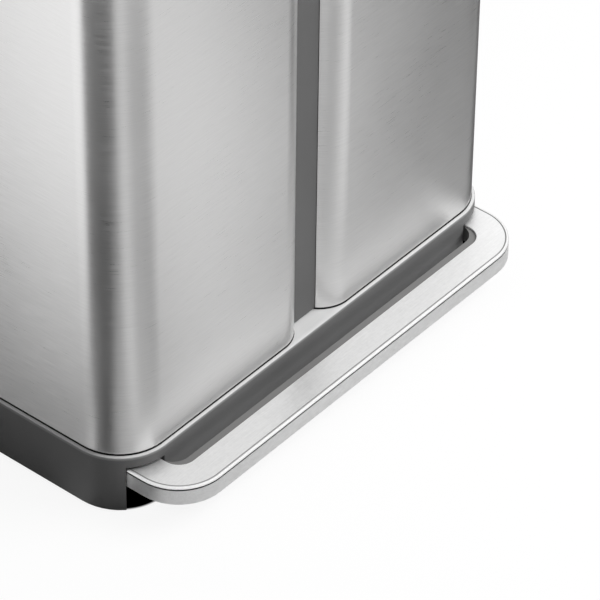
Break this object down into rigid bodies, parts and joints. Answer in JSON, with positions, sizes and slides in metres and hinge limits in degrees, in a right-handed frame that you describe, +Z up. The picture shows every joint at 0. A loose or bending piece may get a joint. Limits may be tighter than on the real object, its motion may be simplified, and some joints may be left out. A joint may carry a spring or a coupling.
{
  "type": "double recycling bin",
  "caption": "Tall brushed steel recycling bin with a grooved front, two inner buckets, a hinged lid and a full-width foot pedal that opens it.",
  "frame": {"origin": "on the floor, under the middle of the whole bin's width and depth, the pedal included", "axes": "+X to the right as seen from the front, +Y towards the back, +Z up; the pedal and the grooved front face -Y"},
  "size_m": [0.5066, 0.3848, 0.6514],
  "materials": {
    "body_steel": "brushed across, satin",
    "lid_steel": "brushed, satin",
    "pedal_steel": "brushed, satin",
    "plain_steel": "plain zinc-plated steel",
    "base_plastic": "satin dark grey moulding",
    "strip_plastic": "satin grey moulding",
    "core_plastic": "satin grey moulding",
    "collar_plastic": "satin dark grey moulding",
    "lid_plastic": "satin dark grey moulding",
    "grey_bucket_plastic": "satin grey moulding",
    "blue_bucket_plastic": "satin blue moulding",
    "black_plastic": "black moulding",
    "foot_rubber": "black rubber"
  },
  "bodies": {
    "bin_body": {"base_plinth": "base_plastic", "foot_front_left": "foot_rubber", "foot_front_right": "foot_rubber", "foot_rear_left": "foot_rubber", "foot_rear_right": "foot_rubber", "left_body_shell": "body_steel", "right_body_shell": "body_steel", "front_channel_strip": "strip_plastic", "rear_channel_strip": "strip_plastic", "top_collar": "collar_plastic", "left_bucket": "grey_bucket_plastic", "right_bucket": "blue_bucket_plastic", "hinge_housing": "collar_plastic", "lid_damper": "black_plastic", "rod_guide_left": "black_plastic", "rod_guide_right": "black_plastic", "pedal_axle": "plain_steel", "axle_saddle_left": "black_plastic", "axle_saddle_right": "black_plastic", "pedal_stop_left": "foot_rubber", "pedal_stop_right": "foot_rubber", "lid_bumper_left": "foot_rubber", "lid_bumper_right": "foot_rubber"},
    "lid": {"lid_skin": "lid_steel", "lid_frame": "lid_plastic", "lid_inner_panel": "lid_plastic", "hinge_arm_left": "plain_steel", "hinge_arm_right": "plain_steel", "hinge_pin": "plain_steel", "arm_screw_left_front": "plain_steel", "arm_screw_left_rear": "plain_steel", "arm_screw_right_front": "plain_steel", "arm_screw_right_rear": "plain_steel"},
    "pedal": {"pedal_cap": "pedal_steel", "pedal_core": "core_plastic", "lever_arm_left": "plain_steel", "lever_arm_right": "plain_steel", "arm_bush_left": "black_plastic", "arm_bush_right": "black_plastic", "lever_crossbar": "plain_steel", "lever_tie": "plain_steel", "pedal_screw_1": "plain_steel", "pedal_screw_2": "plain_steel", "pedal_screw_3": "plain_steel", "pedal_screw_4": "plain_steel"},
    "left_rod": {"left_push_rod": "plain_steel", "left_rod_foot": "black_plastic"},
    "right_rod": {"right_push_rod": "plain_steel", "right_rod_foot": "black_plastic"}
  },
  "joints": [
    {"name": "lid_hinge", "type": "hinge", "parent": "bin_body", "child": "lid", "pos_m": [0, 0.1751, 0.634], "axis": [-1, 0, 0], "range_deg": [0, 78]},
    {"name": "pedal_hinge", "type": "hinge", "parent": "bin_body", "child": "pedal", "pos_m": [0, -0.0189, 0.038], "axis": [1, 0, 0], "range_deg": [0, 8.8]},
    {"name": "left_rod_slide", "type": "slide", "parent": "bin_body", "child": "left_rod", "axis": [0, 0, 1], "range_m": [0, 0.0273]},
    {"name": "right_rod_slide", "type": "slide", "parent": "bin_body", "child": "right_rod", "axis": [0, 0, 1], "range_m": [0, 0.0273]}
  ],
  "couplings": [
    {"joint": "pedal_hinge", "follows": "lid_hinge", "ratio": 0.11282},
    {"joint": "left_rod_slide", "follows": "lid_hinge", "m_per_rad": 0.020008},
    {"joint": "right_rod_slide", "follows": "lid_hinge", "m_per_rad": 0.020008}
  ]
}
